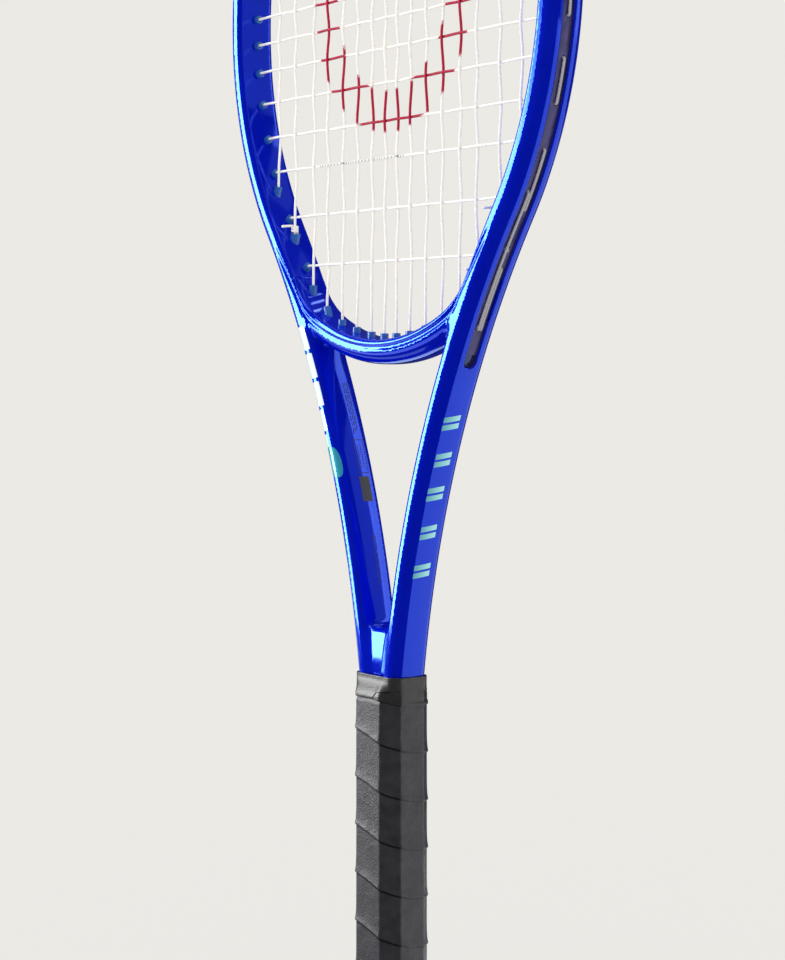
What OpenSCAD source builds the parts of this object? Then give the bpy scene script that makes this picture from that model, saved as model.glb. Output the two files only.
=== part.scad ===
// Tennis racket: a moulded hairpin tube with a throat bridge, guard and grommet strips,
// one string for the mains and one for the crosses, and a foam handle with cap, grip and tape.
// Millimetres. Z runs up the long axis from the butt's end face to the tip.
// The string bed lies in the XZ plane and the front of the racket faces -Y.

/* [Head] */
// Whole length, butt end face to the top of the bumper guard
total_l = 685.8; // [684:0.1:688]
// Outside width of the head at its widest
head_w = 265.2; // [263:0.2:268]
// Height of the widest point
wide_z = 504.5; // [503:0.5:506]
// Outside radius over the tip
tip_r = 110; // [107:1:113]
// Outside radius of the head below its widest point
side_r = 195; // [192:1:198]
// Angle the outline has turned where the head runs into the arm, degrees
flank_a = 34.4; // [34:0.1:35]

/* [Throat] */
// Radius of the arm's outward curve
arm_r = 497; // [490:1:504]
// Angle left where the arm's curve ends, degrees
neck_a = 7; // [6.8:0.1:7.2]
// Radius of the last bend into the straight shaft
neck_r = 196; // [190:1:200]
// Height of the head opening's lowest point
opening_z = 342.4; // [341:0.1:344]
// Radius of the bridge's upper surface
bridge_r = 118; // [114:1:122]
// Radius of the corner between bridge and arm
corner_r = 50; // [46:1:54]
// Height of the bottom of the gap between the arms
crotch_z = 205; // [203:0.5:208]
// Radius at the bottom of that gap
crotch_r = 7; // [6:0.5:8]
// Height where the string groove in each arm ends
groove_z = 331; // [328:1:334]

/* [Tube section] */
// Width of the tube in the plane of the head
tube_w = 11.2; // [11:0.1:11.4]
// Depth of the tube from front to back
tube_d = 20.6; // [20:0.2:21.4]
// Moulded wall
wall = 1.6; // [1.4:0.1:1.8]
// Width of the string groove
groove_w = 6.0; // [5.8:0.1:6.4]
// Depth of the string groove
groove_d = 2.4; // [2.3:0.1:2.6]

/* [Strings] */
// Diameter of the string
string_d = 1.3; // [1.2:0.05:1.35]
// Distance of each main from the centre line
main_x = [4.9, 15.6, 28.1, 40.5, 54.1, 66.4, 83.4, 98.6];
// Height of each cross
cross_z = [379.5, 404.5, 428.6, 446.3, 464.5, 481, 495.5, 509, 521.8, 534.5,
    547.2, 559.8, 572.5, 585.5, 599, 612, 625.8, 638.5, 657];

/* [Grommets] */
// Outside diameter of a barrel
barrel_d = 4.0; // [3.8:0.1:4.2]
// Height of a barrel above the tube's inner surface
barrel_h = 2.4; // [2.2:0.1:2.8]
// Height where the side strips end and the bumper guard starts
guard_z = 596.5; // [596:0.5:597]
// Thickness of the bumper guard over the tube
guard_t = 1.8; // [1.5:0.1:2.2]

/* [Handle] */
// Width of the bare octagonal handle
handle_w = 30.9; // [30.7:0.1:31.3]
// Depth of the bare octagonal handle
handle_d = 25.3; // [25.1:0.1:25.7]
// Height of the top of the bare handle
handle_top = 168; // [160:1:170]
// Thickness of the grip
grip_t = 1.9; // [1.6:0.1:2.2]
// Height of the top of the grip
grip_top = 178; // [176:0.5:180]
// Height of the top of the finishing tape
tape_top = 183.5; // [182:0.5:186]
// Height of the butt cap
cap_h = 27; // [25:0.5:30]
// Width of the butt cap's end
cap_w = 40.5; // [39:0.5:42]
// Depth of the butt cap's end
cap_d = 35; // [34:0.5:36.5]

/* [Hidden] */
$fn = 48;
fit = 0.05;

paint = [0.03, 0.08, 0.72];
trim_col = [0.06, 0.06, 0.30];
barrel_col = [0.12, 0.42, 0.88];
guard_col = [0.08, 0.08, 0.10];
string_col = [0.95, 0.95, 0.93];
foam_col = [0.78, 0.74, 0.62];
grip_col = [0.09, 0.09, 0.10];
steel_col = [0.7, 0.7, 0.72];

// Outline of the right half, as tangent arcs from the tip down.
half_w = head_w / 2;
tip_z = total_l - guard_t;
c_tip = [0, tip_z - tip_r];
shoulder_r = (half_w * half_w + pow(tip_z - wide_z - tip_r, 2) - tip_r * tip_r) / (2 * (half_w - tip_r));
c_shoulder = [half_w - shoulder_r, wide_z];
shoulder_a = atan2(c_tip.y - c_shoulder.y, c_tip.x - c_shoulder.x);
c_side = [half_w - side_r, wide_z];
flank = [cos(flank_a), -sin(flank_a)];
c_arm = c_side + (side_r + arm_r) * flank;
neck = [cos(neck_a), -sin(neck_a)];
c_neck = c_arm + (neck_r - arm_r) * neck;
shaft_x = c_neck.x - neck_r;
shaft_z = c_neck.y;
// centre, radius, 1 when the centre is on the string side, first and last angle
arcs = [
    [c_tip, tip_r, 1, shoulder_a, 180 - shoulder_a],
    [c_shoulder, shoulder_r, 1, 0, shoulder_a],
    [c_side, side_r, 1, -flank_a, 0],
    [c_arm, arm_r, -1, 180 - flank_a, 180 - neck_a],
    [c_neck, neck_r, -1, 180 - neck_a, 180]
];
groove_a = 180 - asin((groove_z - c_arm.y) / arm_r);
guard_a = asin((guard_z - wide_z) / shoulder_r);
strip_gap_a = 0.3;
tube_end = 25.5;

// Bridge: a middle arc and a tighter corner arc that runs into the arm.
c_bridge = [0, opening_z + bridge_r];
arm_in = arm_r + tube_w;
corner_gap = bridge_r - corner_r;
arm_gap = arm_in + corner_r;
to_arm = c_arm - c_bridge;
span = norm(to_arm);
u_arm = to_arm / span;
along = (span * span + corner_gap * corner_gap - arm_gap * arm_gap) / (2 * span);
across = sqrt(corner_gap * corner_gap - along * along);
c_corner = c_bridge + along * u_arm - across * [-u_arm.y, u_arm.x];
corner_a0 = atan2(c_corner.y - c_bridge.y, c_corner.x - c_bridge.x);
corner_a1 = atan2(c_arm.y - c_corner.y, c_arm.x - c_corner.x) - 14;

// Levels across the section, measured inward from the tube's outer surface.
base_t0 = 1.5;
base_t1 = groove_d - fit;
run_t = base_t0 - string_d / 2 - fit;
tip_t = tube_w + barrel_h;
string_y = string_d / 2 + 0.01;

function unit(a) = [cos(a), sin(a)];
function arc_of(k, t) = arcs[k][1] - arcs[k][2] * t;
function chord(r, d) = sqrt(r * r - d * d);
// Point of the right-hand outline at level t: by height on the flank, by x at top or bottom.
function side_k(z, t) =
    z > wide_z + arc_of(1, t) * sin(shoulder_a) ? 0 :
    z > wide_z ? 1 :
    z > wide_z - arc_of(2, t) * sin(flank_a) ? 2 : 3;
function side_p(z, t) = let (k = side_k(z, t), c = arcs[k][0], r = arc_of(k, t))
    [c.x + arcs[k][2] * chord(r, z - c.y), z];
function top_k(x, t) = x < c_shoulder.x + arc_of(1, t) * cos(shoulder_a) ? 0 : 1;
function top_p(x, t) = let (k = top_k(x, t), c = arcs[k][0]) [x, c.y + chord(arc_of(k, t), x - c.x)];
function low_k(x, t) = x > c_side.x + arc_of(2, t) * cos(flank_a) ? 2 : 3;
function low_p(x, t) = let (k = low_k(x, t), c = arcs[k][0])
    [x, c.y - arcs[k][2] * chord(arc_of(k, t), x - c.x)];
function bridge_p(x, t) = let (s = tube_w - t)
    x < c_bridge.x + (bridge_r + s) * cos(corner_a0)
    ? [x, c_bridge.y - chord(bridge_r + s, x)]
    : [x, c_corner.y - chord(corner_r + s, x - c_corner.x)];
// Outward direction of arc k at point p.
function out_a(k, p) = let (v = (p - arcs[k][0]) * arcs[k][2]) atan2(v.y, v.x);

// Level of point p measured from arc k, or from the bridge when k is -1.
function level(k, p) = k < 0 ? bridge_r + tube_w - norm(p - c_bridge)
    : arcs[k][2] * (arcs[k][1] - norm(p - arcs[k][0]));

// A hole: [tip, direction, outward angle, arc]. The direction leans from the string's own
// line towards the surface's normal.
function hole(p, k, line_a, lean) = let (n = out_a(k, p)) [p, line_a + lean * (n - line_a), n, k];
function hole_at(h, t) = h[0] + unit(h[1]) * (level(h[3], h[0]) - t) / cos(h[1] - h[2]);
function run_a(h) = let (v = hole_at(h, run_t) - (h[3] < 0 ? c_bridge : arcs[h[3]][0])) atan2(v.y, v.x);

function cross_hole(z) = let (p = side_p(z, tip_t)) hole(p, side_k(z, tip_t), 0, 1);
function top_hole(x) = let (p = top_p(x, tip_t)) hole(p, top_k(x, tip_t), 90, 1);
function low_hole(x) = let (p = low_p(x, tip_t)) hole(p, low_k(x, tip_t), -90, 0.3);
// The third main from the side leaves through the arm below the bridge's corner.
h_third = let (p = bridge_p(main_x[5], tip_t), n = out_a(3, low_p(main_x[5], tube_w)))
    [p, -86, n, 3];
function bridge_hole(x) = let (p = bridge_p(x, tip_t), v = p - c_bridge)
    [p, -90 + 0.3 * (atan2(v.y, v.x) + 90), atan2(v.y, v.x), -1];
h_corner = let (p = bridge_p(main_x[4], tip_t)) [p, -109, -68, -1];

cross_holes = [for (z = cross_z) cross_hole(z)];
top_holes = [for (x = main_x) top_hole(x)];
low_holes = [low_hole(main_x[7]), low_hole(main_x[6]), h_third];
bridge_holes = concat([for (i = [0:3]) bridge_hole(main_x[i])], [h_corner]);
strip_count = len([for (z = cross_z) if (z < guard_z) z]);

// Bar swept along one arc; the child is a section drawn as [level, y].
module sweep(c, r, sense, a0, a1)
    translate([c.x, 0, c.y]) rotate([90, 0, 0])
        rotate_extrude(angle = a1 - a0, start = a0)
            translate([r, 0]) scale([-sense, 1]) children();

module sweep_arc(k, a0, a1) sweep(arcs[k][0], arcs[k][1], arcs[k][2], a0, a1) children();

// Short collar of the same section over the seam where two bars meet.
collar_l = 0.6;
module collar(c, r, sense, a)
    translate([c.x, 0, c.y]) rotate([90, 0, 0]) rotate([0, 0, a])
        translate([r, collar_l / 2, 0]) rotate([90, 0, 0])
            linear_extrude(collar_l) scale([-sense, 1]) offset(delta = 0.01) children();
module collar_arc(k, a) collar(arcs[k][0], arcs[k][1], arcs[k][2], a) children();

module both() { children(); mirror([1, 0, 0]) children(); }

// Round rod from p to q in the plane at depth y.
module rod(p, q, y, r) {
    d = q - p;
    translate([p.x, y, p.y]) rotate([0, 90 - atan2(d.y, d.x), 0]) cylinder(r = r, h = norm(d));
}

nose_t = 5.2;
nose_y = 4.9;
lip_r = 2.6;
half_d = tube_d / 2;
outer_corner = [for (a = [0:22.5:90]) [nose_t * (1 - cos(a)), half_d - nose_y * (1 - sin(a))]];
inner_corner = [for (a = [90:-30:0]) [tube_w - lip_r * (1 - cos(a)), half_d - lip_r * (1 - sin(a))]];
function mirrored(h) = concat(h, [for (i = [len(h) - 1:-1:0]) [h[i].x, -h[i].y]]);
plain_pts = mirrored(concat(outer_corner, inner_corner));
groove_pts = mirrored(concat([[groove_d, groove_w / 2], [0, groove_w / 2]], outer_corner, inner_corner));
cavity_pts = mirrored([[groove_d + wall, groove_w / 2 + 0.6], [wall + 0.4, groove_w / 2 + wall + 0.8],
    [wall + 1.8, half_d - wall - 1.4], [nose_t + 0.6, half_d - wall],
    [tube_w - lip_r, half_d - wall], [tube_w - wall, half_d - lip_r]]);

module grooved() difference() { polygon(groove_pts); polygon(cavity_pts); }
module plain() difference() { polygon(plain_pts); polygon(cavity_pts); }
module full() polygon(plain_pts);

module tube_run() {
    sweep_arc(0, arcs[0][3], arcs[0][4]) grooved();
    both() {
        for (k = [1, 2]) sweep_arc(k, arcs[k][3], arcs[k][4]) grooved();
        sweep_arc(3, arcs[3][3], groove_a) grooved();
        sweep_arc(3, groove_a, arcs[3][4]) plain();
        sweep_arc(4, arcs[4][3], arcs[4][4]) plain();
        translate([shaft_x, 0, tube_end]) linear_extrude(shaft_z - tube_end)
            scale([-1, 1]) plain();
        for (k = [1, 2, 3]) collar_arc(k, k == 3 ? arcs[3][3] : arcs[k][4]) grooved();
        collar_arc(3, groove_a) plain();
        for (k = [3, 4]) collar_arc(k, arcs[k][4]) plain();
    }
}

web_d = tube_d - 3.6;
web_lap = wall / 2;
module web_outline() difference() {
    translate([-20, tube_end]) square([40, crotch_z + crotch_r - tube_end]);
    translate([0, crotch_z + crotch_r]) circle(r = crotch_r);
    for (s = [-1, 1]) {
        intersection() {
            translate([s * c_arm.x, c_arm.y]) circle(r = arm_in - web_lap, $fn = 400);
            translate([-60, shaft_z + neck_r * sin(neck_a)]) square([120, 120]);
        }
        intersection() {
            translate([s * c_neck.x, c_neck.y]) circle(r = neck_r + tube_w - web_lap, $fn = 400);
            translate([-60, shaft_z]) square([120, neck_r * sin(neck_a)]);
        }
        translate([s * (shaft_x - tube_w + web_lap) + (s < 0 ? -60 : 0), -1]) square([60, shaft_z + 1]);
    }
}
module web() translate([0, web_d / 2, 0]) rotate([90, 0, 0]) linear_extrude(web_d) web_outline();

// Drilled channel for a barrel; past the tip and past the outer surface.
module drill(h, y, r, t1) rod(h[0] - unit(h[1]) * 1.5, hole_at(h, t1), y, r);

tie_d = 5.0;
function is_tie(side, name, i) =
    (name == "low" && i == 1) || (name == "low" && i == 2 && side > 0)
    || (name == "top" && i == 4 && side < 0);
function low_r(side, i) = is_tie(side, "low", i) ? tie_d / 2 : barrel_d / 2;
function top_r(side, i) = is_tie(side, "top", i) ? tie_d / 2 : barrel_d / 2;
function low_y(side, i) = is_tie(side, "low", i) ? 0 : -string_y;
function top_y(side, i) = is_tie(side, "top", i) ? 0 : -string_y;

module frame_tube() color(paint) difference() {
    union() { tube_run(); web(); }
    for (side = [-1, 1]) scale([side, 1, 1]) {
        for (h = cross_holes) drill(h, string_y, barrel_d / 2 + fit, 0.5);
        for (i = [0:len(top_holes) - 1])
            drill(top_holes[i], top_y(side, i), top_r(side, i) + fit, 0.5);
        for (i = [0:len(low_holes) - 1])
            drill(low_holes[i], low_y(side, i), low_r(side, i) + fit, 0.5);
        translate([c_arm.x, 0, c_arm.y]) rotate([0, -groove_a, 0])
            translate([arm_r - 1, 0, 0]) rotate([0, 90, 0])
                cylinder(d = groove_w, h = groove_d + 1);
    }
}

// Along the bridge's middle arc, and a little past both its ends.
module middle_run(past)
    sweep(c_bridge, bridge_r + tube_w, 1, -180 - corner_a0 - past, corner_a0 + past) children();
module bridge_run() {
    middle_run(0) children();
    both() {
        sweep(c_corner, corner_r + tube_w, 1, corner_a0, corner_a1) children();
        collar(c_bridge, bridge_r + tube_w, 1, corner_a0) children();
    }
}

// Everything on the arm's side of its inner face, less a gap.
module arm_side(gap) both() sweep_arc(3, arcs[3][3] - 4, arcs[3][4])
    translate([-30, -half_d - 1]) square([30 + tube_w + gap, tube_d + 2]);

module throat_bridge() color(paint) difference() {
    bridge_run() grooved();
    arm_side(0.02);
    for (side = [-1, 1]) scale([side, 1, 1]) {
        for (h = bridge_holes) drill(h, -string_y, barrel_d / 2 + fit, 0.5);
        drill(h_third, low_y(side, 2), low_r(side, 2) + fit, 0.5);
    }
}

module base_sec() translate([base_t0, -groove_w / 2 + fit])
    square([base_t1 - base_t0, groove_w - 2 * fit]);
module trim_sec() translate([-6, -4]) square([6 + base_t0, 8]);

module barrel(h, y, r) rod(h[0], hole_at(h, 0), y, r);
module bore(h, y, r) rod(h[0] - unit(h[1]), hole_at(h, -1), y, r);
bore_r = 0.9;
tie_bore_r = 1.55;

module side_strip(side) scale([side, 1, 1]) difference() {
    union() {
        sweep_arc(3, arcs[3][3], groove_a - 0.35) base_sec();
        sweep_arc(2, arcs[2][3], arcs[2][4]) base_sec();
        sweep_arc(1, 0, guard_a - strip_gap_a) base_sec();
        for (k = [2, 3]) collar_arc(k, k == 3 ? arcs[3][3] : 0) base_sec();
        difference() {
            union() {
                for (i = [0:strip_count - 1]) barrel(cross_holes[i], string_y, barrel_d / 2);
                for (i = [0:2]) barrel(low_holes[i], low_y(side, i), low_r(side, i));
            }
            sweep_arc(3, arcs[3][3], groove_a) trim_sec();
            sweep_arc(2, arcs[2][3], arcs[2][4]) trim_sec();
            sweep_arc(1, 0, guard_a) trim_sec();
        }
    }
    for (i = [0:strip_count - 1]) bore(cross_holes[i], string_y, bore_r);
    for (i = [0:2]) bore(low_holes[i], low_y(side, i), is_tie(side, "low", i) ? tie_bore_r : bore_r);
}
module grommet_strip_left() color(barrel_col) side_strip(-1);
module grommet_strip_right() color(barrel_col) side_strip(1);

module throat_grommet_strip() color(barrel_col) difference() {
    union() {
        middle_run(1) base_sec();
        difference() {
            both() for (h = bridge_holes) barrel(h, -string_y, barrel_d / 2);
            middle_run(4) trim_sec();
        }
    }
    both() for (h = bridge_holes) bore(h, -string_y, bore_r);
}

guard_in = 2.2;
guard_edge = 7.6;
guard_half = [[base_t0, guard_in], [-guard_t, guard_in], [-guard_t, half_d - nose_y], [-guard_t * 0.8, guard_edge - 1],
    [-guard_t * 0.3, guard_edge + 0.3], [0.5, guard_edge], [-fit, half_d - nose_y], [-fit, groove_w / 2 - fit],
    [base_t1, groove_w / 2 - fit]];
module guard_sec() polygon(mirrored(guard_half));

module bumper_guard() color(guard_col) difference() {
    union() {
        sweep_arc(0, arcs[0][3], arcs[0][4]) guard_sec();
        both() {
            sweep_arc(1, guard_a, arcs[1][4]) guard_sec();
            collar_arc(1, arcs[1][4]) guard_sec();
        }
        difference() {
            for (side = [-1, 1]) scale([side, 1, 1]) {
                for (i = [strip_count:len(cross_z) - 1]) barrel(cross_holes[i], string_y, barrel_d / 2);
                for (i = [0:len(top_holes) - 1]) barrel(top_holes[i], top_y(side, i), top_r(side, i));
            }
            sweep_arc(0, arcs[0][3], arcs[0][4]) trim_sec();
            both() {
                sweep_arc(1, guard_a - 1, arcs[1][4]) trim_sec();
                collar_arc(1, arcs[1][4]) trim_sec();
            }
        }
    }
    for (side = [-1, 1]) scale([side, 1, 1]) {
        for (i = [strip_count:len(cross_z) - 1]) bore(cross_holes[i], string_y, bore_r);
        for (i = [0:len(top_holes) - 1])
            bore(top_holes[i], top_y(side, i), is_tie(side, "top", i) ? tie_bore_r : bore_r);
    }
}

// String: straight lengths across the head and runs in the outer groove from hole to hole.
string_r = string_d / 2;
run_top = [90, shoulder_a, 0, 180 - flank_a];
run_low = [shoulder_a, 0, -flank_a, 180 - neck_a];
module strand_sec(y) translate([run_t, -y]) circle(r = string_r);
// upper and lower are holes of the right-hand side in path order from the tip.
module groove_run(upper, lower, y) for (k = [upper[3]:lower[3]]) {
    a = k == upper[3] ? run_a(upper) : run_top[k];
    b = k == lower[3] ? run_a(lower) : run_low[k];
    sweep_arc(k, min(a, b), max(a, b)) strand_sec(y);
    if (k != upper[3]) bead(arcs[k][0] + arc_of(k, run_t) * unit(a), y, string_r + 0.03);
}
module bridge_string(a0, a1, y)
    sweep(c_bridge, bridge_r + tube_w, 1, a0, a1) strand_sec(y);
// Inside the barrel, ending in the groove.
module lead(h, y) {
    rod(h[0], hole_at(h, run_t), y, string_r - 0.05);
    bead(h[0], y, string_r + 0.05);
    bead(hole_at(h, run_t), y, string_r + 0.05);
}
module bead(p, y, r) translate([p.x, y, p.y]) sphere(r = r);
knot_r = 1.9;
knot_up = 1.2;
tail_l = 8;

module main_string() color(string_col) {
    for (side = [-1, 1]) scale([side, 1, 1]) {
        for (i = [0:7]) {
            low = i < 5 ? bridge_holes[i] : low_holes[7 - i];
            rod(low[0], top_holes[i][0], -string_y, string_r);
            lead(low, -string_y);
            lead(top_holes[i], -string_y);
        }
        for (i = [0:2:6]) groove_run(top_holes[i], top_holes[i + 1], -string_y);
        for (i = [1, 3]) bridge_string(run_a(bridge_holes[i]), run_a(bridge_holes[i + 1]), -string_y);
        groove_run(low_holes[1], low_holes[2], -string_y);
        groove_run(low_holes[0], low_holes[1], -string_y);
        tie = low_holes[1];
        translate([hole_at(tie, run_t).x, -string_y, hole_at(tie, run_t).y]) rotate([-90, 0, 0])
            cylinder(r = string_r - 0.02, h = 2 * string_y);
        lead(tie, string_y);
        bead(tie[0] + [0, knot_up], 0, knot_r);
        translate([tie[0].x, 0, tie[0].y + knot_up + 0.3]) rotate([90, 0, 8])
            cylinder(r = string_r, h = tail_l);
    }
    bridge_string(-180 - run_a(bridge_holes[0]), run_a(bridge_holes[0]), -string_y);
}

module cross_knot(h, side) difference() {
    bead(h[0] + [0, knot_up], string_y, knot_r);
    translate([h[0].x, -string_y, h[0].y - 2]) cylinder(r = string_r + 0.03, h = 8);
}

module cross_string() color(string_col) {
    last = len(cross_z) - 1;
    for (i = [0:last]) {
        h = cross_holes[i];
        rod([-h[0].x, h[0].y], h[0], string_y, string_r);
        both() lead(h, string_y);
    }
    for (i = [1:2:last]) groove_run(cross_holes[i + 1], cross_holes[i], string_y);
    mirror([1, 0, 0]) for (i = [0:2:last - 2]) groove_run(cross_holes[i + 1], cross_holes[i], string_y);
    groove_run(cross_holes[0], h_third, string_y);
    lead(h_third, string_y);
    cross_knot(h_third);
    mirror([1, 0, 0]) {
        groove_run(cross_holes[last], top_holes[4], string_y);
        lead(top_holes[4], string_y);
        difference() {
            bead(top_holes[4][0] - [0, knot_up], string_y, knot_r);
            translate([top_holes[4][0].x, -string_y, top_holes[4][0].y - 6]) cylinder(r = string_r + 0.03, h = 8);
        }
    }
}

// Handle, built up around the two shaft tubes.
function octagon(w, d, c) = let (a = w / 2, b = d / 2)
    [[a, -b + c], [a, b - c], [a - c, b], [-a + c, b], [-a, b - c], [-a, -b + c], [-a + c, -b], [a - c, -b]];
bevel = 6.3;
floor_t = 2.6;
cap_t = 1.5;
foam_low = 5;
cap_pocket = 20;
module block(w, d, c, z0, z1) translate([0, 0, z0]) linear_extrude(z1 - z0) polygon(octagon(w, d, c));

shaft_clear = 0.06;
module shaft_shape(x) for (s = [-1, 1]) scale([s, 1]) {
    translate([x + shaft_clear, 0]) scale([-1, 1]) offset(delta = shaft_clear) polygon(plain_pts);
    translate([-1, -web_d / 2 - shaft_clear]) square([x - tube_w + 3, web_d + 2 * shaft_clear]);
}
neck_steps = 4;
function neck_x(z) = c_neck.x - chord(neck_r, max(0, z - shaft_z));
module shaft_hole() {
    translate([0, 0, -1]) linear_extrude(shaft_z + 1) shaft_shape(shaft_x);
    rise = (handle_top - shaft_z) / neck_steps;
    for (k = [0:neck_steps - 1])
        translate([0, 0, shaft_z + k * rise - 0.01]) linear_extrude(rise + 0.01 + (k == neck_steps - 1 ? 1 : 0))
            for (j = [0, 1]) shaft_shape(neck_x(shaft_z + (k + j) * rise));
}
module handle_foam() color(foam_col) difference() {
    union() {
        block(handle_w, handle_d, bevel, foam_low + cap_pocket, handle_top);
        block(handle_w - 2 * cap_t, handle_d - 2 * cap_t, bevel - 0.6, foam_low, foam_low + cap_pocket);
    }
    shaft_hole();
}

// The cap is a flared octagonal cup; its end carries the door's opening.
door_w = 20;
door_d = 14;
door_t = 1.6;
door_gap = 0.35;
lip_h = 6;
flare_h = 8;
module stadium(w, d) {
    square([w - d, d], center = true);
    for (s = [-1, 1]) translate([s * (w - d) / 2, 0]) circle(d = d);
}
module butt_cap() color(guard_col) difference() {
    union() {
        block(cap_w, cap_d, bevel + 1.6, 0, lip_h);
        hull() {
            block(cap_w, cap_d, bevel + 1.6, lip_h - 0.01, lip_h);
            block(handle_w + 0.4, handle_d + 0.4, bevel, lip_h + flare_h - 0.01, lip_h + flare_h);
        }
        block(handle_w, handle_d, bevel, lip_h + flare_h - 0.01, foam_low + cap_pocket - fit);
    }
    block(handle_w - 2 * cap_t + 2 * fit, handle_d - 2 * cap_t + 2 * fit, bevel - 0.6, foam_low - fit, cap_h + 1);
    translate([0, 0, -1]) linear_extrude(1 + door_t + door_gap)
        stadium(door_w + 2 * door_gap, door_d + 2 * door_gap);
    translate([0, 0, -1]) linear_extrude(foam_low + 2) stadium(door_w - 3.4, door_d - 3.4);
}

clip_h = 3.2;
clip_w = 5;
module trap_door() color(trim_col) {
    linear_extrude(door_t) stadium(door_w, door_d);
    for (s = [-1, 1]) translate([s * (door_w / 2 - 3.2) - 0.5, -clip_w / 2, door_t - 0.01])
        cube([1, clip_w, clip_h]);
}

wire_r = 0.35;
crown = 8;
leg = 1.9;
module staple() {
    rotate([0, 90, 0]) translate([0, 0, -crown / 2]) cylinder(r = wire_r, h = crown);
    for (s = [-1, 1]) translate([s * (crown / 2 - wire_r), 0, 0]) rotate([-90, 0, 0]) cylinder(r = wire_r, h = leg);
}
staple_z = 19.5;
tack_z = 30;
sunk = 0.32;
module staples() color(steel_col) {
    for (s = [0, 180]) rotate([0, 0, s]) translate([0, sunk - handle_d / 2, staple_z]) staple();
    translate([0, sunk - handle_d / 2, tack_z]) staple();
}

grip_low = lip_h + flare_h + 0.3;
grip_bevel = bevel + 1.1;
grip_gap = 0.05;
// Octagon around the shaft with a gap, its bevels clear of the tubes' rounded corners.
module around_shaft(x, gap, z0, z1) let (w = x + gap, d = half_d + gap,
        reach = x - nose_t + half_d - nose_y + norm([nose_t, nose_y]))
    block(2 * w, 2 * d, w + d - reach - 1.4 * gap, z0, z1);
module grip_wrap() color(grip_col) difference() {
    block(handle_w + 2 * grip_t, handle_d + 2 * grip_t, grip_bevel, grip_low, grip_top);
    block(handle_w + 2 * grip_gap, handle_d + 2 * grip_gap, bevel, grip_low - 1, handle_top);
    around_shaft(c_arm.x - chord(arm_r, grip_top - c_arm.y), 0.2, handle_top - 1, grip_top + 1);
}
neck_w = c_arm.x - chord(arm_r, tape_top - c_arm.y);
tape_t = 0.5;
module finishing_tape() color(grip_col) difference() {
    around_shaft(neck_w, 0.15 + tape_t, grip_top + 0.02, tape_top);
    around_shaft(neck_w, 0.15, grip_top - 1, tape_top + 1);
}

frame_tube();
throat_bridge();
bumper_guard();
grommet_strip_left();
grommet_strip_right();
throat_grommet_strip();
main_string();
cross_string();
handle_foam();
butt_cap();
trap_door();
staples();
grip_wrap();
finishing_tape();
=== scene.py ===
import math
import random

import bpy
import numpy as np
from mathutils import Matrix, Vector


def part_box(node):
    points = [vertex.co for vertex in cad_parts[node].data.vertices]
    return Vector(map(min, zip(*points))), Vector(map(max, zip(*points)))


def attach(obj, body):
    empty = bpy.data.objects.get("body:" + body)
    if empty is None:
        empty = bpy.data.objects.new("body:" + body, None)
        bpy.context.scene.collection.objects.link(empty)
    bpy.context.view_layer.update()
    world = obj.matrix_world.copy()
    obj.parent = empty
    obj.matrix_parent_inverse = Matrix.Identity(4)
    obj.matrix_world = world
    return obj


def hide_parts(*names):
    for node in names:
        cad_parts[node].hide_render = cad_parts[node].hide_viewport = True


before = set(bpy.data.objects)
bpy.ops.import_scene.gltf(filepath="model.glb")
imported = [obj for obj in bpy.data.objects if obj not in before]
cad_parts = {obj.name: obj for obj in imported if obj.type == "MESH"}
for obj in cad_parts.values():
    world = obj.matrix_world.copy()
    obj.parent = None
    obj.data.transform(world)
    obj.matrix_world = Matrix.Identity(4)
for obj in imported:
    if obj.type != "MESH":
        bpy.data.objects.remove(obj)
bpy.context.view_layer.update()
rnd = random.Random(7)

# ---------- outline, in millimetres
TUBE_LO, TUBE_HI = [v * 1000 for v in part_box("frame_tube")]
HALF_W, HALF_D, TOP_Z = TUBE_HI
# width of the tube, measured in from its outer surface; a level is a distance in that direction
TUBE_W = 11.2
# radius of each arc of the outline; the flank and the neck lean in by an angle in degrees
TIP_R, SIDE_R, FLANK = 110.0, 195.0, 34.4
ARM_R, NECK, NECK_R = 497.0, 7.0, 196.0
# height of the widest place and of the bottom of the opening, and radii of the bridge and its corners
WIDE_Z, OPENING_Z, BRIDGE_R, CORNER_R = 504.5, 342.4, 118.0, 50.0
# height of the crotch between the arms, and of the lower end of the string groove
CROTCH_Z, GROOVE_Z = 205.0, 331.0
GROOVE_W, GROOVE_D, STRING_R = 6.0, 2.4, 0.65
# edge radii of the tube: outside, and inside the opening
EDGE_R, LIP_R = 5.0, 2.5
# how far the paint under the bridge swells below the moulding line
BELLY = 1.1
# half depth of the web between the arms, and the height where the visible skin starts
WEB_D = HALF_D - 1.8
SKIN_Z = 180.6
# main strings right of the centre line, and cross strings from the bottom
MAIN_X = [4.9, 15.6, 28.1, 40.5, 54.1, 66.4, 83.4, 98.6]
CROSS_Z = [379.5, 404.5, 428.6, 446.3, 464.5, 481, 495.5, 509, 521.8, 534.5,
           547.2, 559.8, 572.5, 585.5, 599, 612, 625.8, 638.5, 657]
# how far a barrel stands out of the tube
BARREL_H = 2.4
# levels of a string's run in the groove and of a barrel's tip, and a string's distance off the middle plane
RUN_T = 1.5 - STRING_R - 0.05
TIP_T = TUBE_W + BARREL_H
STRING_Y = 0.66
# how far a string swings off the middle plane where it crosses another
WEAVE = 0.55


def unit(a):
    return np.array([math.cos(math.radians(a)), math.sin(math.radians(a))])


def ang(v):
    return math.degrees(math.atan2(v[1], v[0]))


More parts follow.
